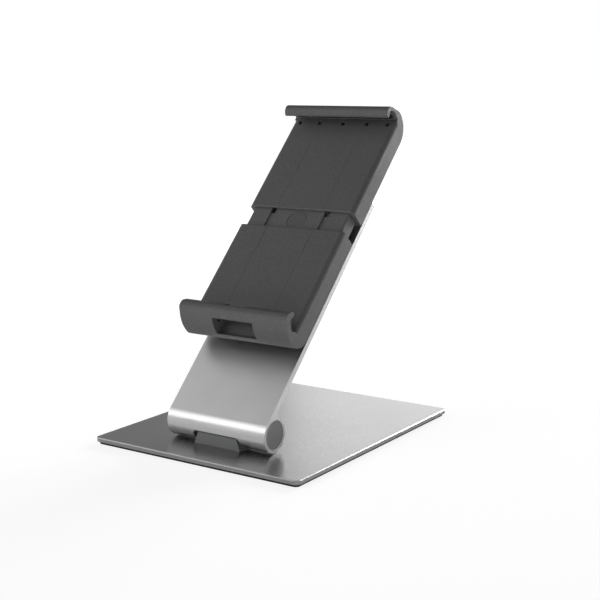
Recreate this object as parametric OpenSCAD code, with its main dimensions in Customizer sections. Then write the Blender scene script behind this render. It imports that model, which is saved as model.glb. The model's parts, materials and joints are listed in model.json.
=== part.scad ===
// Table stand for a tablet: a weighted plate, a tilting aluminium arm and a
// swivelling holder whose two hooked jaws slide apart together on a rack and
// pinion. Millimetres, +Z up, origin at the centre of the underside.

/* [Base] */
// Width of the base plate, along X
base_w = 155; // [140:1:180]
// Depth of the base plate, along Y
base_d = 184; // [184:1:210]
// Thickness of the steel plate
plate_t = 2.7; // [2:0.1:4]
// Thickness of the rubber pad under the plate
pad_t = 1.8; // [1:0.1:3]
// How far the pad stands back from the plate's edge
pad_inset = 1.5; // [1:0.5:4]
// Corner radius of the plate
plate_corner_r = 4; // [3:1:10]
// Chamfer round the plate's top edge
plate_chamfer = 0.5; // [0.2:0.1:0.8]

/* [Hinge] */
// Distance of the hinge axis in front of the base's centre
axis_front = 57; // [50:1:65]
// Radius of the barrel at the foot of the arm
barrel_r = 11.1; // [10.8:0.1:12]
// Radius of the bore through the barrel
bore_r = 9; // [8.8:0.1:9]
// Gap between the barrel and the plate
barrel_gap = 0.5; // [0.4:0.1:1]
// Radius of the fixed hinge shaft
shaft_r = 4; // [3:0.5:4]
// Width of the window that the foot passes through
window_w = 36; // [36:1:37]
// Front edge of the window, in degrees below the front of the barrel
window_front = 15; // [10:1:16]
// Back edge of the window, in degrees below the front of the barrel
window_back = 140; // [138:1:148]

/* [Arm] */
// Lean of the arm from the vertical, in degrees
lean = 44.6; // [40:0.2:70]
// Width of the arm and barrel
arm_w = 74.7; // [74:0.1:76]
// Thickness of the arm's plate
arm_t = 3.75; // [3:0.25:4]
// Length of the arm from the hinge axis to its top end
arm_len = 174; // [172:0.5:180]
// Radius of the arm's top corners
arm_corner_r = 1.5; // [1:0.5:10]
// Fillet between the barrel and the back of the arm
arm_fillet_r = 3; // [2:0.5:5]

/* [Holder] */
// Distance of the swivel axis from the hinge axis
pivot_s = 141.3; // [138:0.1:145]
// Width of the jaws
jaw_w = 82; // [82:0.1:84]
// Gap between the arm and the back of the jaws
jaw_back = 5.4; // [5.4:0.1:5.5]
// Height of the front of the jaws above the face of the arm
jaw_front = 19.3; // [19.3:0.1:20]
// Distance from the swivel axis to the inner end of each jaw
jaw_inner = 7.8; // [7:0.1:9]
// Half length of the carrier that the jaws slide on
carrier_half = 60; // [56:1:60]
// Half width of the carrier
carrier_hw = 37.4; // [37.2:0.1:37.4]
// Sliding clearance between the carrier and the jaws
slide_gap = 0.3; // [0.3:0.05:0.4]
// Distance of the jaws' guide grooves from the centre line
groove_x = 21; // [20.5:0.5:22]

/* [Rack and pinion] */
// Gear module
gear_m = 1.5; // [1.4:0.05:1.5]
// Number of teeth of the pinion
gear_z = 16; // [14:2:16]
// Backlash on the pitch line
backlash = 0.3; // [0.2:0.05:0.5]

/* [Hidden] */

$fn = 64;
eps = 0.01;
sharp_r = 0.1;
clear = 0.1;

steel_grey = "#b4b5b7";
aluminium_grey = "#a9aaac";
jaw_grey = "#48494c";
carrier_grey = "#4e4f53";
foot_grey = "#57595f";
bright_steel = "#c8c9cc";
rubber_black = "#232325";
nylon_white = "#d9d8d0";
spring_steel = "#8e8f94";

base_top = pad_t + plate_t;
axis_y = -axis_front;
axis_z = base_top + barrel_gap + barrel_r;

// Window in the barrel
window_corner_r = 3;
window_aim = window_front + 45;
window_reach = barrel_r + 4;

// Foot and the parts on the hinge shaft, each reaching out from X = 0
foot_bottom_hw = 17.5;
foot_top_hw = 14.6;
foot_front = 9;
foot_back = -2.5;
foot_top = 4.1;
foot_boss_r = 8.5;
foot_boss_hw = 16.9;
foot_screw_x = 10;
foot_screw_grip = 6;
disc_in = 17.1;
disc_t = 1.3;
disc_r = 8.3;
bush_in = 18.6;
bush_t = 7;
running_gap = 0.06;
seat_gap = 0.02;
washer_in = 25.8;
washer_t = 1;
spring_in = 26.9;
spring_t = 0.5;
spring_cone = 0.4;
spring_count = 2;
spring_gap = 0.1;
nut_in = 29.1;
nut_t = 4;
nut_r = 7.4;
thread_out = 0.3;
head_t = 3.4;
head_r = 6.5;
shaft_hex_r = 3;
shaft_hex_depth = 2;
cap_t = 3.4;
cap_sink = 0.2;

// Screws: shank radius, head radius and the height of the countersunk head
m4_r = 2;
m4_head_r = 3.6;
m4_sink = 1.6;
m4_hex_r = 1.3;
m3_r = 1.5;
m3_head_r = 2.9;
m3_sink = 1.5;
m3_hex_r = 1;
small_r = 1.25;
small_head_r = 2.3;
small_sink = 1.1;
head_gap = 0.03;
hex_depth = 1.2;
screw_room = 0.5;

// Swivel stack, heights above the face of the arm
plinth_r = 17;
plinth_t = 3.6;
plinth_screw_r = 12;
plinth_roof = 0.6;
ring_in_r = 9;
ring_out_r = 16;
ring_t = 0.8;
boss_low = plinth_t + ring_t + slide_gap;
shoulder_r = 4;
thread_r = 3;
bolt_head_r = 5.5;
bolt_head_low = 10.5;
bolt_head_t = 2.6;
bolt_hex_r = 2.6;
bolt_hex_depth = 1.8;
bolt_washer_t = 0.4;
bolt_washer_r = 5.8;
wave_r = 5.7;

// Carrier, heights above the face of the arm
jaw_back_t = 1.8;
jaw_front_t = 1.7;
carrier_back = jaw_back + jaw_back_t + slide_gap;
carrier_floor_t = 2;
carrier_floor = carrier_back + carrier_floor_t;
cover_low = 15.3;
cover_top = jaw_front - jaw_front_t - slide_gap;
channel_hw = 19.8;
tube_in_r = 6.2;
tube_out_r = 7.8;
tube_top = 14.6;
cap_r = 7;
cap_sunk = 0.15;
cap_plug_t = 0.8;
cap_wall = 1.2;
cap_hollow = 0.6;
cover_r = 1.2;
cover_screw_x = 28.5;
cover_screw_z = 46;
screw_post_r = 3.3;
groove_w = 4.4;
groove_depth = 1.1;
groove_slope = 0.6;
window_near = 4.9;
window_far = 9.5;
rib_t = 2;
pocket_reach = 41;
pocket_wall = 2.5;

// Brake pads, in pockets in the sides of the carrier
brake_z = [-52, 40];
brake_len = 12;
brake_low = 10;
brake_high = 14;
brake_inset = 1.1;
brake_gap = 0.1;

// Jaws
jaw_wall_back = jaw_back + jaw_back_t;
jaw_wall_front = jaw_front - jaw_front_t;
cavity_hw = carrier_hw + slide_gap;
cavity_end = 72;
back_hw = 38.8;
back_end = 79;
edge_r = 3;
front_end = 86;
screw_row = 76;
jaw_screw_xs = [-28, 0, 29];
jaw_screw_len = 7;
jaw_boss_top = jaw_wall_back + jaw_screw_len;
close_travel = 5;
trim_x = 18;
trim_hw = 0.4;
trim_depth = 0.09;
trim_end = 70;
key_side_gap = 0.35;
key_tip_gap = 0.4;
key_setback = 14;
mouth_depth = 0.9;
mouth_len = 5;
key_hw = groove_w / 2 - groove_slope - key_side_gap;
key_tip = cover_top - groove_depth + key_tip_gap;
hub_room = 0.5;
grip_hw = 38;
grip_t = 1.1;

// Rack and pinion
pitch_r = gear_m * gear_z / 2;
pressure_angle = 20;
addendum = 0.9 * gear_m;
dedendum = 1.25 * gear_m;
tooth_pitch = PI * gear_m;
flank_steps = 5;
pinion_gap = 0.4;
pinion_low = carrier_floor + pinion_gap;
pinion_top = tube_top - clear;
rack_low = 10.2;
rack_top = 13.8;
rack_w = 7;
rack_back_x = pitch_r + rack_w;
rack_pocket_w = 6.5;
rack_screw_x = (pitch_r + dedendum + rack_back_x) / 2;
rack_screw_head_t = 1.6;
rack_screw_top = jaw_wall_front - 1;
rack_teeth_low = -8;
rack_teeth_high = 3;

// Upper hook: small slots in front of its root
slot_xs = [-35, -19, 0, 19, 35];
slot_hw = 1.3;
slot_depth = 5;
slot_from = 81.7;
slot_to = 85.2;

// Lower hook: opening through its lip, which clears a cable or a button, and
// the thumb notch in the edge of the lip
opening_hw = 15.4;
opening_top = 28.8;
opening_rise = 0.9;
opening_sill = 18.8;
opening_floor = 15.5;
opening_inside = 82;
opening_slope = 91;
opening_outside = 95;
notch_hw = 7.8;
notch_end = 81.4;
notch_floor = 25;

// Side outlines of the jaws: distance out from the swivel axis, height above
// the face of the arm, corner radius
upper_outline = [
    [jaw_inner, jaw_back, 0.5],
    [93.3, jaw_back, 13.6],
    [93.3, 21.2, 8.2],
    [84.8, 38.8, 4.5],
    [80.1, 30.6, 0.6],
    [80, 29, 0.5],
    [86, 30.6, 2],
    [88.8, 26, 2],
    [88.1, jaw_front, 0.6],
    [jaw_inner, jaw_front, 0.8]
];
lower_outline = [
    [jaw_inner, jaw_back, 0.5],
    [89.6, jaw_back, 12],
    [94, 13.9, 5],
    [94, 23.9, 22],
    [86.4, 33.7, 3],
    [82, 33.7, 4],
    [78.2, 29.7, 1.2],
    [79.4, 27.6, 1.2],
    [84.3, 29.2, 2.5],
    [88.2, 23.2, 2.5],
    [86, jaw_front, 2],
    [jaw_inner, jaw_front, 0.8]
];

// ---------- outlines ----------

function unit(v) = v / norm(v);

// Arc that rounds the corner p between its neighbours a and b
function corner(a, p, b, r, n) =
    let (u = unit(a - p),
         v = unit(b - p),
         half = acos(u * v) / 2,
         c = p + unit(u + v) * r / sin(half),
         s = p + u * r / tan(half) - c,
         e = p + v * r / tan(half) - c,
         start = atan2(s.y, s.x),
         turn = atan2(s.x * e.y - s.y * e.x, s * e))
    [for (i = [0:n]) c + r * [cos(start + turn * i / n), sin(start + turn * i / n)]];

// Outline with each corner rounded to the radius given as its third value
function rounded(path) =
    let (count = len(path), flat = [for (q = path) [q.x, q.y]])
    [for (i = [0:count - 1])
        each corner(flat[(i + count - 1) % count], flat[i], flat[(i + 1) % count],
                    path[i].z, path[i].z > 5 ? 12 : 5)];

// Half angle of a pinion tooth at radius r
base_r = pitch_r * cos(pressure_angle);
function involute(a) = tan(a) * 180 / PI - a;
function tooth_half_angle(r) =
    (tooth_pitch / 2 - backlash) / pitch_r * 90 / PI
    + involute(pressure_angle) - involute(acos(min(1, base_r / r)));

// ---------- frames ----------

// Hinge frame: origin on the hinge axis, Z along the arm, -Y out of its face
module arm_frame() {
    translate([0, axis_y, axis_z]) rotate([-lean, 0, 0]) children();
}

// Holder frame: origin where the swivel axis meets the face of the arm
module holder_frame() {
    arm_frame() translate([0, -barrel_r, pivot_s]) children();
}

// The lower jaw's frame is the holder frame turned half a turn on the swivel
module lower_frame() {
    holder_frame() rotate([0, 180, 0]) children();
}

// Extrudes an outline drawn as (along the arm, out of its face) across X
module across(w) {
    rotate([180, -90, 0]) linear_extrude(w, center = true) children();
}

// Extrudes an outline drawn as (X, out of the face) along the arm
module along(from, to) {
    translate([0, 0, from]) mirror([0, 1, 0]) linear_extrude(to - from) children();
}

// Block in the holder frame given by its limits
module block(x, out, up) {
    translate([x[0], -out[1], up[0]]) cube([x[1] - x[0], out[1] - out[0], up[1] - up[0]]);
}

// Upright cylinder out of the face of the arm, from height low to high
module pillar(r, low, high, r_top = undef) {
    translate([0, -low, 0]) rotate([90, 0, 0])
        cylinder(h = high - low, r1 = r, r2 = r_top == undef ? r : r_top);
}

// Cylinder on the hinge axis from x0 to x1
module spindle(r, x0, x1) {
    translate([x0, axis_y, axis_z]) rotate([0, 90, 0]) cylinder(h = x1 - x0, r = r);
}

module ring(r_out, r_in, x0, x1) {
    difference() {
        spindle(r_out, x0, x1);
        spindle(r_in, x0 - 1, x1 + 1);
    }
}

module both_sides() {
    children();
    mirror([1, 0, 0]) children();
}

module rounded_slab(w, d, r, z0, z1) {
    translate([0, 0, z0]) linear_extrude(z1 - z0)
        polygon(rounded([[-w / 2, -d / 2, r], [w / 2, -d / 2, r], [w / 2, d / 2, r], [-w / 2, d / 2, r]]));
}

// ---------- base ----------

module base_plate() {
    color(steel_grey) difference() {
        rounded_slab(base_w, base_d, plate_corner_r, pad_t, base_top);
        // chamfer along the four straight top edges
        for (turn = [0:90:270]) {
            reach = turn % 180 == 0 ? base_d / 2 : base_w / 2;
            rotate([0, 0, turn]) translate([0, reach, base_top])
                rotate([45, 0, 0]) cube([base_w + base_d, plate_chamfer * sqrt(2), plate_chamfer * sqrt(2)],
                                        center = true);
        }
        foot_screw_places() {
            translate([0, 0, -1]) cylinder(h = base_top + 2, r = m4_r);
            translate([0, 0, pad_t - eps]) cylinder(h = m4_sink, r1 = m4_head_r, r2 = m4_r);
        }
    }
}

module base_pad() {
    color(rubber_black)
        rounded_slab(base_w - 2 * pad_inset, base_d - 2 * pad_inset, plate_corner_r - 1, 0, pad_t);
}

module foot_screw_places() {
    for (x = [-foot_screw_x, foot_screw_x])
        translate([x, axis_y - (foot_front + foot_back) / 2, 0]) children();
}

// Trapezoidal foot that passes through the barrel's window and holds the shaft
module hinge_foot() {
    color(foot_grey) difference() {
        union() {
            translate([0, axis_y - foot_back, 0]) rotate([90, 0, 0])
                linear_extrude(foot_front - foot_back)
                    polygon([[-foot_bottom_hw, base_top], [foot_bottom_hw, base_top],
                             [foot_top_hw, axis_z - foot_top], [-foot_top_hw, axis_z - foot_top]]);
            intersection() {
                spindle(foot_boss_r, -foot_boss_hw, foot_boss_hw);
                translate([-base_w / 2, axis_y - base_w / 2, base_top]) cube(base_w);
            }
        }
        spindle(shaft_r, -base_w / 2, base_w / 2);
        foot_screw_places() translate([0, 0, pad_t]) cylinder(h = foot_screw_grip, r = m4_r);
    }
}

module foot_screws() {
    color(bright_steel) foot_screw_places() difference() {
        union() {
            translate([0, 0, pad_t]) cylinder(h = m4_sink, r1 = m4_head_r - head_gap, r2 = m4_r);
            translate([0, 0, pad_t + m4_sink - eps]) cylinder(h = foot_screw_grip - m4_sink, r = m4_r);
        }
        translate([0, 0, pad_t - eps]) cylinder(h = hex_depth, r = m4_hex_r, $fn = 6);
    }
}

// ---------- hinge shaft and its friction stack ----------

module hinge_shaft() {
    color(bright_steel) {
        spindle(shaft_r, -spring_in, nut_in + nut_t + thread_out);
        difference() {
            spindle(head_r, -spring_in - head_t, -spring_in);
            translate([-spring_in - head_t - eps, axis_y, axis_z]) rotate([0, 90, 0])
                cylinder(h = shaft_hex_depth, r = shaft_hex_r, $fn = 6);
        }
    }
}

module friction_discs() {
    color(spring_steel) both_sides() ring(disc_r, shaft_r, disc_in, disc_in + disc_t);
}

module shaft_washers() {
    color(bright_steel) both_sides() ring(nut_r, shaft_r, washer_in, washer_in + washer_t);
}

// Conical spring washers, set face to face
module disc_springs() {
    color(spring_steel) for (i = [0:spring_count - 1])
        translate([spring_in + spring_gap / 2 + i * (spring_t + spring_cone + spring_gap), axis_y, axis_z])
            rotate([0, 90, 0]) rotate_extrude() {
                flip = i % 2 == 0 ? 0 : spring_cone;
                polygon([[shaft_r, flip], [nut_r, spring_cone - flip],
                         [nut_r, spring_cone - flip + spring_t], [shaft_r, flip + spring_t]]);
            }
}

module shaft_nut() {
    color(bright_steel) difference() {
        translate([nut_in, axis_y, axis_z]) rotate([0, 90, 0]) cylinder(h = nut_t, r = nut_r, $fn = 6);
        spindle(shaft_r, 0, base_w / 2);
    }
}

module hinge_bushes() {
    color(nylon_white) both_sides() ring(bore_r - seat_gap, shaft_r + running_gap, bush_in, bush_in + bush_t);
}

// ---------- arm ----------

// Barrel, flat plate tangent to its front and the fillet behind, side view
module arm_outline() {
    fillet_out = barrel_r - arm_t - arm_fillet_r;
    fillet_s = sqrt(pow(barrel_r + arm_fillet_r, 2) - pow(fillet_out, 2));
    circle(barrel_r);
    translate([0, barrel_r - arm_t]) square([arm_len, arm_t]);
    difference() {
        polygon([[0, 0], [fillet_s, fillet_out], [fillet_s, barrel_r - 1], [0, barrel_r - 1]]);
        translate([fillet_s, fillet_out]) circle(arm_fillet_r);
    }
}

// Window in the barrel's lower front, rounded at its two front corners
module window_cut() {
    half_w = window_w / 2;
    front = barrel_r * sin(window_aim - window_front);
    r = window_corner_r;
    translate([0, axis_y, axis_z]) difference() {
        rotate([window_aim + 90, 0, 0]) linear_extrude(window_reach)
            polygon(rounded([[-half_w, -window_reach, r], [half_w, -window_reach, r],
                             [half_w, front, r], [-half_w, front, r]]));
        rotate([window_back, 0, 0]) translate([-window_w, -2 * window_reach, -2 * window_reach])
            cube([2 * window_w, 2 * window_reach, 2 * window_reach]);
    }
}

module arm_extrusion() {
    color(aluminium_grey) difference() {
        arm_frame() difference() {
            across(arm_w) difference() {
                arm_outline();
                circle(bore_r);
            }
            both_sides() translate([arm_w / 2 - arm_corner_r, 0, arm_len - arm_corner_r])
                difference() {
                    translate([0, -barrel_r - 1, 0])
                        cube([arm_corner_r + 1, arm_t + 2, arm_corner_r + 1]);
                    rotate([90, 0, 0]) cylinder(h = 4 * barrel_r, r = arm_corner_r, center = true);
                }
            translate([0, -barrel_r, pivot_s]) {
                pillar(thread_r, -arm_t - 1, 1);
                plinth_screw_places() {
                    pillar(m3_r, -arm_t - 1, 1);
                    pillar(m3_head_r, -arm_t - eps, -arm_t + m3_sink, m3_r);
                }
            }
        }
        window_cut();
    }
}

module end_cap() {
    color(foot_grey) spindle(bore_r - seat_gap, arm_w / 2 - cap_t, arm_w / 2 - cap_sink);
}

module right_end_cap() { end_cap(); }
module left_end_cap() { mirror([1, 0, 0]) end_cap(); }

// ---------- swivel ----------

module plinth_screw_places() {
    for (a = [90:120:330]) rotate([0, a, 0]) translate([plinth_screw_r, 0, 0]) children();
}

module swivel_plinth() {
    color(spring_steel) holder_frame() difference() {
        pillar(plinth_r, 0, plinth_t);
        pillar(thread_r, -1, plinth_t + 1);
        plinth_screw_places() pillar(m3_r, -1, plinth_t - plinth_roof);
    }
}

module plinth_screws() {
    color(bright_steel) holder_frame() plinth_screw_places() difference() {
        union() {
            pillar(m3_head_r - head_gap, -arm_t, -arm_t + m3_sink, m3_r);
            pillar(m3_r, -arm_t + m3_sink - eps, plinth_t - plinth_roof - clear);
        }
        rotate([90, 0, 0]) translate([0, 0, -arm_t - eps])
            cylinder(h = hex_depth, r = m3_hex_r, $fn = 6);
    }
}

module glide_ring() {
    color(nylon_white) holder_frame() difference() {
        pillar(ring_out_r, plinth_t, plinth_t + ring_t);
        pillar(ring_in_r, 0, 2 * plinth_t);
    }
}

module swivel_bolt() {
    color(bright_steel) holder_frame() difference() {
        union() {
            pillar(thread_r, -arm_t + screw_room, plinth_t);
            pillar(shoulder_r, plinth_t, bolt_head_low);
            pillar(bolt_head_r, bolt_head_low, bolt_head_low + bolt_head_t);
        }
        rotate([90, 0, 0]) translate([0, 0, bolt_head_low + bolt_head_t - bolt_hex_depth])
            cylinder(h = 2 * bolt_hex_depth, r = bolt_hex_r, $fn = 6);
    }
}

module swivel_washer() {
    color(bright_steel) holder_frame() difference() {
        pillar(bolt_washer_r, carrier_floor + clear, carrier_floor + clear + bolt_washer_t);
        pillar(shoulder_r, 0, 2 * carrier_floor);
    }
}

module wave_spring() {
    color(spring_steel) holder_frame() difference() {
        pillar(wave_r, carrier_floor + clear + bolt_washer_t, bolt_head_low);
        pillar(shoulder_r, 0, 2 * carrier_floor);
    }
}

// ---------- carrier ----------

module cover_screw_places() {
    for (x = [-cover_screw_x, cover_screw_x], z = [-cover_screw_z, cover_screw_z])
        translate([x, 0, z]) children();
}

// Tray with a channel for the racks, a hub under it and a tube for the pinion
module carrier_frame() {
    color(carrier_grey) holder_frame() difference() {
        union() {
            difference() {
                block([-carrier_hw, carrier_hw], [carrier_back, cover_low], [-carrier_half, carrier_half]);
                block([-channel_hw, channel_hw], [carrier_floor, cover_low + 1],
                      [-carrier_half - 1, carrier_half + 1]);
                both_sides()
                    block([channel_hw + rib_t, carrier_hw - pocket_wall], [carrier_floor, cover_low + 1],
                          [-pocket_reach, pocket_reach]);
                both_sides() for (z = brake_z)
                    block([carrier_hw - brake_inset, carrier_hw + 1], [brake_low, brake_high],
                          [z, z + brake_len]);
            }
            pillar(tube_out_r, carrier_floor - eps, tube_top);
            pillar(ring_out_r, boss_low, carrier_back + eps);
            cover_screw_places() pillar(screw_post_r, carrier_floor - eps, cover_low);
        }
        pillar(tube_in_r, carrier_floor, cover_low);
        pillar(shoulder_r + running_gap, 0, cover_low);
        cover_screw_places() pillar(small_r, carrier_floor + screw_room, cover_low + 1);
    }
}

// Section of a guide groove, with sloping sides
module guide_groove() {
    top = groove_w / 2;
    floor_hw = top - groove_slope;
    polygon([[-floor_hw, -groove_depth], [-top, 0], [-top, 1],
             [top, 1], [top, 0], [floor_hw, -groove_depth]]);
}

module carrier_cover() {
    color(carrier_grey) holder_frame() difference() {
        along(-carrier_half, carrier_half)
            polygon(rounded([[-carrier_hw, cover_low, sharp_r], [-carrier_hw, cover_top, cover_r],
                             [carrier_hw, cover_top, cover_r], [carrier_hw, cover_low, sharp_r]]));
        for (x = [-groove_x, groove_x])
            along(-carrier_half - 1, carrier_half + 1) translate([x, cover_top]) guide_groove();
        for (x = [-groove_x, groove_x])
            block([x - groove_w / 2, x + groove_w / 2], [cover_low - 1, cover_top + 1],
                  [window_near, window_far]);
        pillar(cap_r + clear, 0, cover_top + 1);
        cover_screw_places() {
            pillar(small_r, 0, cover_top + 1);
            pillar(small_r, cover_top - small_sink, cover_top + eps, small_head_r);
        }
    }
}

module cover_screws() {
    color(bright_steel) holder_frame() cover_screw_places() {
        pillar(small_r, carrier_floor + screw_room + clear, cover_top - small_sink + eps);
        pillar(small_r, cover_top - small_sink, cover_top, small_head_r - head_gap);
    }
}

// Round cap over the head of the swivel bolt
module centre_cap() {
    color(jaw_grey) holder_frame() difference() {
        union() {
            pillar(cap_r, cover_low, cover_top - cap_sunk);
            pillar(tube_in_r - clear / 2, tube_top - cap_plug_t, cover_low + eps);
        }
        pillar(tube_in_r - cap_wall, 0, cover_low + cap_hollow);
    }
}

// Four small pads that steady the jaws and hold them where they are pulled to
module brake_pads() {
    color(nylon_white) holder_frame() both_sides() for (z = brake_z)
        block([carrier_hw - brake_inset, carrier_hw + slide_gap - brake_gap], [brake_low, brake_high],
              [z, z + brake_len]);
}

// ---------- rack and pinion ----------

module drive_pinion() {
    tip_r = pitch_r + addendum;
    root_r = pitch_r - dedendum;
    step = 360 / gear_z;
    radii = [for (i = [0:flank_steps]) base_r + (tip_r - base_r) * i / flank_steps];
    color(nylon_white) holder_frame() difference() {
        mirror([0, 1, 0]) translate([0, pinion_low, 0]) rotate([-90, 0, 0])
            linear_extrude(pinion_top - pinion_low)
                polygon([for (k = [0:gear_z - 1], side = [-1, 1], i = [-1:flank_steps])
                    let (j = side < 0 ? i : flank_steps - 1 - i,
                         r = j < 0 ? root_r : radii[j],
                         a = k * step + side * tooth_half_angle(max(r, base_r)))
                    r * [cos(a), sin(a)]]);
        pillar(tube_out_r + running_gap, 0, cover_top);
    }
}

// Straight rack on the +X side of the pinion, screwed into the jaw's outer end
module rack() {
    half = tooth_pitch / 4 - backlash / 2;
    tip_x = pitch_r - addendum;
    root_x = pitch_r + dedendum;
    tip_half = half - addendum * tan(pressure_angle);
    root_half = half + dedendum * tan(pressure_angle);
    first = rack_teeth_low * tooth_pitch;
    difference() {
        translate([0, -rack_low, 0]) rotate([90, 0, 0]) linear_extrude(rack_top - rack_low)
            polygon([
                [rack_back_x, back_end], [rack_back_x, first],
                for (k = [rack_teeth_low:rack_teeth_high - 1]) let (mid = (k + 0.5) * tooth_pitch)
                    each [[root_x, mid - root_half], [tip_x, mid - tip_half],
                          [tip_x, mid + tip_half], [root_x, mid + root_half]],
                [root_x, back_end]
            ]);
        translate([rack_screw_x, 0, screw_row]) pillar(small_r, 0, 2 * rack_top);
    }
}

module rack_screw() {
    translate([rack_screw_x, 0, screw_row]) {
        pillar(small_r, rack_low - eps, rack_screw_top);
        pillar(small_head_r, rack_low - rack_screw_head_t, rack_low);
    }
}

module upper_rack() { color(nylon_white) holder_frame() rack(); }
module lower_rack() { color(nylon_white) lower_frame() rack(); }
module upper_rack_screw() { color(bright_steel) holder_frame() rack_screw(); }
module lower_rack_screw() { color(bright_steel) lower_frame() rack_screw(); }

// ---------- jaws ----------

module jaw_screw_places() {
    for (x = jaw_screw_xs) translate([x, 0, screw_row]) children();
}

// Rounds the two long front edges of a jaw
module edge_rounding(length) {
    both_sides() along(-1, length) difference() {
        translate([jaw_w / 2 - edge_r, jaw_front - edge_r]) square(edge_r + 1);
        translate([jaw_w / 2 - edge_r, jaw_front - edge_r]) circle(edge_r);
    }
}

module jaw_shell(outline) {
    difference() {
        across(jaw_w) polygon(rounded(outline));
        edge_rounding(front_end);
        // hollow for the carrier, and the rebate for the back cover
        block([-cavity_hw, cavity_hw], [jaw_wall_back - eps, jaw_wall_front], [0, cavity_end]);
        block([-back_hw, back_hw], [0, jaw_wall_back], [0, back_end]);
        // relief over each guide groove, at the open end
        for (x = [-groove_x, groove_x])
            block([x - groove_w / 2, x + groove_w / 2],
                  [jaw_wall_front - eps, jaw_wall_front + mouth_depth], [0, jaw_inner + mouth_len]);
        // shallow lengthwise grooves on the front
        for (x = [-trim_x, trim_x])
            block([x - trim_hw, x + trim_hw], [jaw_front - trim_depth, jaw_front + 1], [0, trim_end]);
        // pocket that the end of the rack is dropped into
        block([rack_back_x - rack_pocket_w, rack_back_x + slide_gap], [0, rack_top + clear],
              [cavity_end - 1, back_end + 2 * slide_gap]);
        translate([rack_screw_x, 0, screw_row]) pillar(small_r, 0, rack_screw_top + clear);
        jaw_screw_places() pillar(small_r, 0, jaw_boss_top);
    }
    // keys that run in the carrier's grooves
    for (x = [-groove_x, groove_x])
        block([x - key_hw, x + key_hw], [key_tip, jaw_wall_front + eps],
              [jaw_inner + key_setback, cavity_end]);
}

module jaw_back_cover() {
    hub_room_r = ring_out_r + hub_room;
    difference() {
        block([-back_hw, back_hw], [jaw_back, jaw_wall_back], [jaw_inner, back_end]);
        translate([0, 0, close_travel]) pillar(hub_room_r, 0, 2 * jaw_back);
        block([-hub_room_r, hub_room_r], [0, 2 * jaw_back], [0, close_travel]);
        jaw_screw_places() {
            pillar(small_r, 0, 2 * jaw_back);
            pillar(small_head_r, jaw_back - eps, jaw_back + small_sink, small_r);
        }
    }
}

module jaw_screws() {
    jaw_screw_places() {
        pillar(small_head_r - head_gap, jaw_back, jaw_back + small_sink, small_r);
        pillar(small_r, jaw_back + small_sink - eps, jaw_boss_top - screw_room);
    }
}

// Five small slots in the root of the upper hook
module hook_slots() {
    for (x = slot_xs)
        block([x - slot_hw, x + slot_hw], [jaw_front - slot_depth, jaw_front + 1], [slot_from, slot_to]);
}

// Opening through the lip of the lower hook, with a pocket behind it for a plug
module lip_opening() {
    across(2 * opening_hw)
        polygon([[opening_inside, opening_top], [opening_inside, opening_floor],
                 [opening_slope, opening_floor], [opening_outside, opening_sill],
                 [opening_outside, opening_top + opening_rise]]);
}

// Notch in the edge of the lip, where a thumb lifts the tablet out
module thumb_notch() {
    block([-notch_hw, notch_hw], [notch_floor, 2 * notch_floor], [0, notch_end]);
}

module upper_jaw_shell() {
    color(jaw_grey) holder_frame() difference() {
        jaw_shell(upper_outline);
        hook_slots();
    }
}
module lower_jaw_shell() {
    color(jaw_grey) lower_frame() difference() {
        jaw_shell(lower_outline);
        lip_opening();
        thumb_notch();
    }
}
module upper_jaw_back() { color(jaw_grey) holder_frame() jaw_back_cover(); }
module lower_jaw_back() { color(jaw_grey) lower_frame() jaw_back_cover(); }
module upper_jaw_screws() { color(bright_steel) holder_frame() jaw_screws(); }
module lower_jaw_screws() { color(bright_steel) lower_frame() jaw_screws(); }

// Rubber strip on the floor of a hook, which runs from a to b in its outline
module grip_strip(a, b, from, to) {
    u = unit([b.x - a.x, b.y - a.y]);
    inward = [-u.y, u.x] * grip_t;
    start = [a.x, a.y] + u * from;
    end = [a.x, a.y] + u * to;
    across(2 * grip_hw) polygon([start, end, end + inward, start + inward]);
}

module upper_grip_pad() {
    color(rubber_black) holder_frame() grip_strip(upper_outline[8], upper_outline[7], 1.1, 4.5);
}
module lower_grip_pad() {
    color(rubber_black) lower_frame() difference() {
        grip_strip(lower_outline[10], lower_outline[9], 1.3, 2.8);
        block([-opening_hw - clear, opening_hw + clear], [0, 2 * jaw_front], [0, opening_outside]);
    }
}

// ---------- model ----------

base_plate();
base_pad();
hinge_foot();
foot_screws();
hinge_shaft();
friction_discs();
shaft_washers();
disc_springs();
shaft_nut();
arm_extrusion();
left_end_cap();
right_end_cap();
hinge_bushes();
swivel_plinth();
plinth_screws();
glide_ring();
swivel_bolt();
swivel_washer();
wave_spring();
carrier_frame();
carrier_cover();
centre_cap();
cover_screws();
brake_pads();
drive_pinion();
upper_jaw_shell();
upper_jaw_back();
upper_rack();
upper_rack_screw();
upper_jaw_screws();
upper_grip_pad();
lower_jaw_shell();
lower_jaw_back();
lower_rack();
lower_rack_screw();
lower_jaw_screws();
lower_grip_pad();
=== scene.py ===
"""Looks of the tablet stand: rounded, finely finished versions of the visible CAD pieces,
procedural materials for every material slot, soft studio light and the main camera."""

import json
from math import pi, radians

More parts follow.
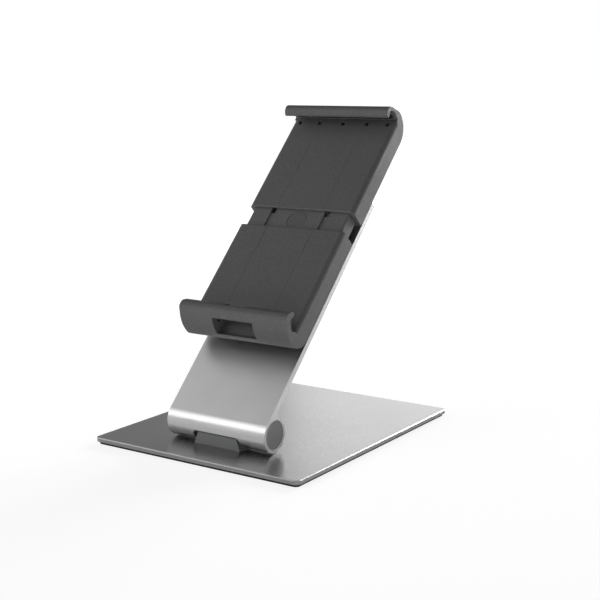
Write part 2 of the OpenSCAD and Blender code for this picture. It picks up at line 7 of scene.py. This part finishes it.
import bmesh
import bpy
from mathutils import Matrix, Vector


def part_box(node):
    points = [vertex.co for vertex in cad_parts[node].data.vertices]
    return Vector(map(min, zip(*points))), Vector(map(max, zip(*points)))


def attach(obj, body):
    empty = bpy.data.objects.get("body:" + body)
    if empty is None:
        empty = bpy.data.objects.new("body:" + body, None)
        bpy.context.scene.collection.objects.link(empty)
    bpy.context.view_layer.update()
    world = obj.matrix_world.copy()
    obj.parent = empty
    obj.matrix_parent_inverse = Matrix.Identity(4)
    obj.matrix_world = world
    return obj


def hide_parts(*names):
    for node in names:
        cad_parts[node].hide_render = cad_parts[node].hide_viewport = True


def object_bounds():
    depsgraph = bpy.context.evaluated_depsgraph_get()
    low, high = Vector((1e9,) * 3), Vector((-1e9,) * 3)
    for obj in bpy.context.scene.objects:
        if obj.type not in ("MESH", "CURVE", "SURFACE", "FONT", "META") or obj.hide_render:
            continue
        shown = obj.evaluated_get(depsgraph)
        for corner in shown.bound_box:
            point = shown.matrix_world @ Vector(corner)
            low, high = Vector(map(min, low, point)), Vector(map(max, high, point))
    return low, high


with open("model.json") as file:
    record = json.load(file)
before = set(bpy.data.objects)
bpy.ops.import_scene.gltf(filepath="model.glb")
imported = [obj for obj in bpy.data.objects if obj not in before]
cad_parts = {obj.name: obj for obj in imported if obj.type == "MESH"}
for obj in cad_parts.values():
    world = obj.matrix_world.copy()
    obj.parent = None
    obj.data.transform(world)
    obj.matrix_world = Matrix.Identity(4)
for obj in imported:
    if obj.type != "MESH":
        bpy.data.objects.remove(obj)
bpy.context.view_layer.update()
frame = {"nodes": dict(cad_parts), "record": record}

MM = 0.001
nodes_of_frame = frame["nodes"]
record = frame["record"]
slot_of = {part["node"]: part["material_slot"] for part in record["subparts"]}
body_of = {node: body for body, names in record["behaviour"]["bodies"].items() for node in names}


# ---------- materials ----------

# Range of a noise's values that holds most of them
NOISE_LOW = 0.3
NOISE_HIGH = 0.7
# Upward part of the normal on a broken edge of a flat plate, and how far from it still counts, where a
# painted highlight goes
HIGHLIGHT_SLOPE = 0.6
HIGHLIGHT_SLOPE_RANGE = 0.35


def set_range(node, from_low, from_high, to_low, to_high):
    """Sets what a Map Range node maps from and to."""
    bounds = {"From Min": from_low, "From Max": from_high, "To Min": to_low, "To Max": to_high}
    for name, value in bounds.items():
        node.inputs[name].default_value = value


class Shader:
    """A material's node tree, with short ways to add to it."""

    def __init__(self, name, color, metallic, roughness, **settings):
        self.material = bpy.data.materials.new(name)
        self.material.use_nodes = True
        self.tree = self.material.node_tree
        self.surface = self.tree.nodes["Principled BSDF"]
        self.surface.inputs["Base Color"].default_value = (*color, 1)
        self.surface.inputs["Metallic"].default_value = metallic
        self.surface.inputs["Roughness"].default_value = roughness
        for socket, value in settings.items():
            self.surface.inputs[socket.replace("_", " ")].default_value = value
        self.place = self.add("ShaderNodeTexCoord").outputs["Object"]

    def add(self, kind, **values):
        node = self.tree.nodes.new(kind)
        for key, value in values.items():
            setattr(node, key, value)
        return node

    def join(self, output, target):
        self.tree.links.new(output, target)

    def noise(self, size, detail=2, stretch=(1, 1, 1)):
        """Noise whose features are about size metres across, longer along a stretched axis."""
        mapping = self.add("ShaderNodeMapping")
        mapping.inputs["Scale"].default_value = [1 / s for s in stretch]
        self.join(self.place, mapping.inputs["Vector"])
        texture = self.add("ShaderNodeTexNoise")
        texture.inputs["Scale"].default_value = 1 / size
        texture.inputs["Detail"].default_value = detail
        self.join(mapping.outputs["Vector"], texture.inputs["Vector"])
        return texture.outputs["Fac"]

    def spread(self, value, low, high):
        """Maps the middle of a noise to the range from low to high."""
        ramp = self.add("ShaderNodeMapRange")
        set_range(ramp, NOISE_LOW, NOISE_HIGH, low, high)
        self.join(value, ramp.inputs["Value"])
        return ramp.outputs["Result"]

    def tint(self, value, dark, light):
        """Base colour between two colours."""
        mix = self.add("ShaderNodeMix", data_type="RGBA")
        mix.inputs["A"].default_value = (*dark, 1)
        mix.inputs["B"].default_value = (*light, 1)
        self.join(self.spread(value, 0, 1), mix.inputs["Factor"])
        self.join(mix.outputs["Result"], self.surface.inputs["Base Color"])

    def paint_edge_highlight(self, color):
        """Painted highlight: another, lighter colour where the surface slopes, such as on the broken
        edge of a flat plate.
        """
        upright = self.add("ShaderNodeSeparateXYZ")
        self.join(self.add("ShaderNodeTexCoord").outputs["Normal"], upright.inputs["Vector"])
        slope = self.add("ShaderNodeMath", operation="COMPARE")
        slope.inputs[1].default_value = HIGHLIGHT_SLOPE
        slope.inputs[2].default_value = HIGHLIGHT_SLOPE_RANGE
        self.join(upright.outputs["Z"], slope.inputs[0])
        mix = self.add("ShaderNodeMix", data_type="RGBA")
        mix.inputs["B"].default_value = (*color, 1)
        face = self.surface.inputs["Base Color"].links[0].from_socket
        self.join(face, mix.inputs["A"])
        self.join(slope.outputs["Value"], mix.inputs["Factor"])
        self.join(mix.outputs["Result"], self.surface.inputs["Base Color"])

    def roughen(self, value, low, high):
        """Roughness between two values."""
        self.join(self.spread(value, low, high), self.surface.inputs["Roughness"])

    def bump(self, value, depth, strength=1.0):
        """Relief of a depth in metres."""
        node = self.add("ShaderNodeBump")
        node.inputs["Distance"].default_value = depth
        node.inputs["Strength"].default_value = strength
        self.join(value, node.inputs["Height"])
        self.join(node.outputs["Normal"], self.surface.inputs["Normal"])


def grey(level, blue=0.0):
    """Grey of a level, with its blue a share stronger."""
    return (level, level, level * (1 + blue))


def plate_steel():
    """Satin stainless steel with a very fine grain and a painted highlight on its broken edge."""
    shader = Shader("satin_steel", grey(0.365), 1, 0.3)
    grain = shader.noise(0.4 * MM, 3, (1, 8, 1))
    clouds = shader.noise(40 * MM, 2)
    shader.tint(clouds, grey(0.355), grey(0.375))
    # painted highlight: a lighter colour on the sloping broken edge of the plate
    shader.paint_edge_highlight(grey(0.6))
    shader.roughen(grain, 0.27, 0.33)
    shader.bump(grain, 0.002 * MM, 0.5)
    return shader.material


def arm_aluminium():
    """Bead-blasted, clear anodised aluminium."""
    shader = Shader("satin_aluminium", grey(0.685), 1, 0.35)
    beads = shader.noise(0.35 * MM, 3)
    clouds = shader.noise(30 * MM, 2)
    shader.tint(clouds, (0.665, 0.665, 0.668), (0.705, 0.705, 0.705))
    shader.roughen(beads, 0.31, 0.39)
    shader.bump(beads, 0.006 * MM, 0.5)
    return shader.material


def moulded_plastic(name, dark, light, roughness):
    """Moulded plastic with the fine eroded texture of its tool."""
    shader = Shader(name, light, 0, roughness, IOR=1.48)
    texture = shader.noise(0.8 * MM, 3)
    flow = shader.noise(25 * MM, 2)
    shader.tint(texture, dark, light)
    shader.roughen(flow, roughness - 0.03, roughness + 0.05)
    shader.bump(texture, 0.12 * MM, 1.0)
    return shader.material


def painted_metal():
    """Satin powder coat with a faint orange peel."""
    shader = Shader("powder_coat", (0.31, 0.313, 0.325), 0, 0.42, IOR=1.5)
    peel = shader.noise(1.4 * MM, 2)
    shader.tint(shader.noise(15 * MM, 2), (0.3, 0.303, 0.312), (0.315, 0.318, 0.327))
    shader.roughen(peel, 0.38, 0.46)
    shader.bump(peel, 0.03 * MM, 0.35)
    return shader.material


def rubber(name, level):
    """Matt rubber with a fine grain and a trace of dust."""
    shader = Shader(name, grey(level), 0, 0.8, Specular_IOR_Level=0.3)
    grain = shader.noise(0.5 * MM, 3)
    shader.tint(shader.noise(8 * MM, 4), grey(level), grey(level * 1.5))
    shader.roughen(grain, 0.7, 0.9)
    shader.bump(grain, 0.05 * MM, 0.5)
    return shader.material


def turned_metal(name, dark, light, roughness):
    """Plated or bare steel of small turned and stamped parts."""
    shader = Shader(name, light, 1, roughness)
    grain = shader.noise(0.3 * MM, 3, (1, 6, 1))
    shader.tint(shader.noise(4 * MM, 3), dark, light)
    shader.roughen(grain, roughness - 0.06, roughness + 0.08)
    shader.bump(grain, 0.004 * MM, 0.4)
    return shader.material


def nylon():
    """Natural nylon, slightly translucent."""
    shader = Shader("natural_nylon", (0.72, 0.71, 0.66), 0, 0.45, IOR=1.53, Subsurface_Weight=0.1)
    shader.surface.inputs["Subsurface Scale"].default_value = 1 * MM
    grain = shader.noise(0.8 * MM, 2)
    shader.tint(shader.noise(6 * MM, 2), (0.68, 0.67, 0.62), (0.75, 0.74, 0.7))
    shader.roughen(grain, 0.4, 0.52)
    shader.bump(grain, 0.02 * MM, 0.3)
    return shader.material


MATERIALS = {
    "plate_steel": plate_steel(),
    "pad_rubber": rubber("pad_rubber", 0.02),
    "foot_paint": painted_metal(),
    "zinc_steel": turned_metal("zinc_plate", (0.5, 0.51, 0.54), (0.64, 0.65, 0.67), 0.25),
    "spring_steel": turned_metal("spring_steel", (0.28, 0.28, 0.3), (0.4, 0.4, 0.42), 0.35),
    "arm_aluminium": arm_aluminium(),
    "cap_plastic": moulded_plastic("cap_plastic", grey(0.258), grey(0.297), 0.5),
    "glide_nylon": nylon(),
    "carrier_plastic": moulded_plastic("carrier_plastic", grey(0.112), grey(0.152, 0.03), 0.5),
    "jaw_plastic": moulded_plastic("jaw_plastic", grey(0.094), grey(0.141, 0.03), 0.5),
    "grip_rubber": rubber("grip_rubber", 0.015),
}


def dress(piece, node):
    """Gives a piece the material of a CAD node."""
    piece.data.materials.clear()
    piece.data.materials.append(MATERIALS[slot_of[node]])


# ---------- refined pieces ----------

# Points of the CAD mesh closer than this are one, and those left by the rounding
WELD = 0.002 * MM
MERGE = 0.0005 * MM
# Faces that meet at less than the first angle are one, and edges above the second stay crisp
FLAT_ANGLE = radians(0.5)
CRISP_ANGLE = radians(38)
# An edge is rounded where both its faces are this many times wider than the rounding
FACE_PER_ROUNDING = 1.6
# Long edges of the arm: how long at least, and how far from its side at most
ARM_EDGE_LENGTH = 40 * MM
ARM_EDGE_OFF_SIDE = 0.01 * MM


def show(mesh, node):
    """Turns mesh data into a piece that stands for a CAD node and moves with it."""
    data = bpy.data.meshes.new(node + "_skin")
    mesh.to_mesh(data)
    mesh.free()
    data.polygons.foreach_set("use_smooth", [True] * len(data.polygons))
    piece = bpy.data.objects.new(node + "_skin", data)
    bpy.context.scene.collection.objects.link(piece)
    normals = piece.modifiers.new("normals", "WEIGHTED_NORMAL")
    normals.keep_sharp = True
    normals.weight = 100
    dress(piece, node)
    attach(piece, body_of[node])
    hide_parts(node)


def mesh_of(node):
    """Welded copy of a CAD node's mesh, its flat faces whole."""
    mesh = bmesh.new()
    mesh.from_mesh(nodes_of_frame[node].data)
    bmesh.ops.remove_doubles(mesh, verts=mesh.verts, dist=WELD)
    bmesh.ops.dissolve_limit(mesh, angle_limit=FLAT_ANGLE, verts=mesh.verts, edges=mesh.edges)
    return mesh


def narrowest(edge):
    """Width of the narrower of the two faces at an edge, measured away from the edge."""
    return min(face.calc_area() for face in edge.link_faces) / max(edge.calc_length(), MERGE)


def round_edges(mesh, width, segments=3, angle=28, where=lambda edge: True):
    """Rounds the sharp edges whose faces are wide enough, and keeps the other sharp edges crisp."""
    rounded = [e for e in mesh.edges
               if len(e.link_faces) == 2 and e.calc_face_angle() > radians(angle)
               and narrowest(e) > FACE_PER_ROUNDING * width and where(e)]
    bmesh.ops.bevel(mesh, geom=rounded, offset=width, offset_type="OFFSET", segments=segments,
                    profile=0.5, affect="EDGES", clamp_overlap=True)
    bmesh.ops.remove_doubles(mesh, verts=mesh.verts, dist=MERGE)
    for edge in mesh.edges:
        edge.smooth = len(edge.link_faces) == 2 and edge.calc_face_angle() < CRISP_ANGLE


def refined(node, width):
    """A CAD node's shape with its sharp edges rounded."""
    mesh = mesh_of(node)
    round_edges(mesh, width)
    show(mesh, node)


def arm():
    """The arm, with its long edges broken wider than the rest."""
    mesh = mesh_of("arm_extrusion")
    lowest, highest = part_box("arm_extrusion")
    side = (highest.x - lowest.x) / 2

    def runs_along_a_side(edge):
        a, b = (v.co for v in edge.verts)
        return min(abs(a.x), abs(b.x)) > side - ARM_EDGE_OFF_SIDE and (a - b).length > ARM_EDGE_LENGTH

    round_edges(mesh, 0.4 * MM, where=runs_along_a_side)
    round_edges(mesh, 0.3 * MM, segments=2, angle=50, where=lambda edge: not runs_along_a_side(edge))
    show(mesh, "arm_extrusion")


ROUNDINGS_MM = {
    "base_plate": 0.35, "base_pad": 0.3, "hinge_foot": 0.5, "left_end_cap": 0.3, "right_end_cap": 0.3,
    "carrier_frame": 0.25, "carrier_cover": 0.3, "centre_cap": 0.3,
    "upper_jaw_shell": 0.5, "lower_jaw_shell": 0.5, "upper_jaw_back": 0.3, "lower_jaw_back": 0.3,
    "upper_grip_pad": 0.3, "lower_grip_pad": 0.3,
}

arm()
for node, width in ROUNDINGS_MM.items():
    refined(node, width * MM)

for node, obj in nodes_of_frame.items():
    dress(obj, node)


# ---------- studio ----------

low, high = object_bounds()
centre = (low + high) / 2
# Half the side of the floor
FLOOR_HALF = 30
# Light that the floor adds to what it throws back
FLOOR_GLOW = 0.256
# What the camera sees of the floor: a share of white, which rises between two distances
FLOOR_WHITE_SHARE = 0.55
FLOOR_WHITE_NEAR = 1.48
FLOOR_WHITE_FAR = 1.8
FLOOR_RISE_FROM = 0.3
FLOOR_RISE_TO = 1.2
# Where the room's light changes, as parts of a direction: from front to back, and upwards
ROOM_FRONT = -0.3
ROOM_BACK = 0.4
ROOM_LOW = 0.2
ROOM_HIGH = 0.6
# Height of the upward light above the floor
JUST_ABOVE = 0.006


def floor():
    """White, softly lit floor. The camera sees it a little overexposed, as in a product picture."""
    mesh = bmesh.new()
    bmesh.ops.create_grid(mesh, x_segments=1, y_segments=1, size=FLOOR_HALF)
    data = bpy.data.meshes.new("floor")
    mesh.to_mesh(data)
    mesh.free()
    obj = bpy.data.objects.new("floor", data)
    bpy.context.scene.collection.objects.link(obj)
    obj.location.z = low.z
    shader = Shader("floor_white", grey(0.8), 0, 0.7, Specular_IOR_Level=0.0)
    shader.tint(shader.noise(0.3, 2), grey(0.79), grey(0.81))

    diffuse = shader.surface.outputs["BSDF"]
    bounce = shader.add("ShaderNodeEmission")
    bounce.inputs["Strength"].default_value = FLOOR_GLOW
    lit = shader.add("ShaderNodeAddShader")
    shader.join(diffuse, lit.inputs[0])
    shader.join(bounce.outputs["Emission"], lit.inputs[1])

    distance = shader.add("ShaderNodeVectorMath", operation="LENGTH")
    shader.join(shader.place, distance.inputs[0])
    rise = shader.add("ShaderNodeMapRange", interpolation_type="SMOOTHSTEP")
    set_range(rise, FLOOR_RISE_FROM, FLOOR_RISE_TO, FLOOR_WHITE_NEAR, FLOOR_WHITE_FAR)
    shader.join(distance.outputs["Value"], rise.inputs["Value"])
    white = shader.add("ShaderNodeEmission")
    shader.join(rise.outputs["Result"], white.inputs["Strength"])
    seen = shader.add("ShaderNodeMixShader")
    seen.inputs["Fac"].default_value = FLOOR_WHITE_SHARE
    shader.join(diffuse, seen.inputs[1])
    shader.join(white.outputs["Emission"], seen.inputs[2])

    pick = shader.add("ShaderNodeMixShader")
    shader.join(shader.add("ShaderNodeLightPath").outputs["Is Camera Ray"], pick.inputs["Fac"])
    shader.join(lit.outputs["Shader"], pick.inputs[1])
    shader.join(seen.outputs["Shader"], pick.inputs[2])
    shader.join(pick.outputs["Shader"], shader.tree.nodes["Material Output"].inputs["Surface"])
    data.materials.append(shader.material)


def softbox(name, place, size, radiance, target=centre):
    """Area light that faces the object; its power follows from its size and radiance."""
    light = bpy.data.lights.new(name, "AREA")
    light.shape = "RECTANGLE"
    light.size, light.size_y = size
    light.energy = radiance * light.size * light.size_y * pi
    obj = bpy.data.objects.new(name, light)
    bpy.context.scene.collection.objects.link(obj)
    obj.location = place
    obj.rotation_euler = (target - Vector(place)).to_track_quat("-Z", "Y").to_euler()
    obj.visible_camera = False


def studio_world(front, back, zenith):
    """White room to the camera; as a light, grey that changes from front to back and upwards."""
    world = bpy.data.worlds.new("studio")
    world.use_nodes = True
    tree = world.node_tree
    tree.nodes.clear()
    direction = tree.nodes.new("ShaderNodeSeparateXYZ")
    tree.links.new(tree.nodes.new("ShaderNodeTexCoord").outputs["Generated"], direction.inputs["Vector"])

    def ramp(axis, start, end, low_value, high_value):
        node = tree.nodes.new("ShaderNodeMapRange")
        node.interpolation_type = "SMOOTHSTEP"
        set_range(node, start, end, low_value, high_value)
        tree.links.new(direction.outputs[axis], node.inputs["Value"])
        return node

    def background(strength=1.0):
        node = tree.nodes.new("ShaderNodeBackground")
        node.inputs["Color"].default_value = (1, 1, 1, 1)
        node.inputs["Strength"].default_value = strength
        return node

    horizon = ramp("Y", ROOM_FRONT, ROOM_BACK, front, back)
    height = ramp("Z", ROOM_LOW, ROOM_HIGH, 0.0, zenith)
    tree.links.new(horizon.outputs["Result"], height.inputs["To Min"])
    room = background()
    tree.links.new(height.outputs["Result"], room.inputs["Strength"])
    mix = tree.nodes.new("ShaderNodeMixShader")
    tree.links.new(tree.nodes.new("ShaderNodeLightPath").outputs["Is Camera Ray"], mix.inputs["Fac"])
    tree.links.new(room.outputs["Background"], mix.inputs[1])
    tree.links.new(background().outputs["Background"], mix.inputs[2])
    out = tree.nodes.new("ShaderNodeOutputWorld")
    tree.links.new(mix.outputs["Shader"], out.inputs["Surface"])
    bpy.context.scene.world = world


floor()
studio_world(front=0.276, back=0.427, zenith=0.077)
softbox("key_back_right", (0.15, 1.6, 0.45), size=(1.1, 0.8), radiance=8.4)
softbox("back", (-0.6, 1.5, 0.45), size=(0.75, 0.8), radiance=1.3)
softbox("right", (1.5, 0.1, 0.7), size=(1.6, 1.2), radiance=0.26)
softbox("front_left", (-0.9, -1.2, 0.8), size=(0.9, 0.9), radiance=2.05)
softbox("left", (-1.5, 0.1, 0.7), size=(1.2, 1.2), radiance=0.5)
softbox("top_left", (-0.9, -0.4, 1.35), size=(1.2, 1.2), radiance=0.4)
softbox("front_floor", (0.1, -0.4, low.z + JUST_ABOVE), size=(0.8, 0.45), radiance=0.8,
        target=Vector((0.1, -0.4, 1)))


# ---------- camera ----------

# Where the camera stands, how it is tilted up from straight down and turned, and its optics in mm
CAMERA_PLACE = (0.43606, -0.62557, 0.22571)
CAMERA_TILT = radians(79.65)
CAMERA_TURN = radians(33.79)
CAMERA_LENS = 71.74
CAMERA_SENSOR = 36


def camera():
    """Camera in front, to the right and a little above."""
    data = bpy.data.cameras.new("camera")
    data.sensor_width = CAMERA_SENSOR
    data.lens = CAMERA_LENS
    obj = bpy.data.objects.new("camera", data)
    bpy.context.scene.collection.objects.link(obj)
    obj.location = CAMERA_PLACE
    obj.rotation_euler = (CAMERA_TILT, 0, CAMERA_TURN)
    bpy.context.scene.camera = obj


camera()
bpy.context.scene.view_settings.view_transform = "Standard"
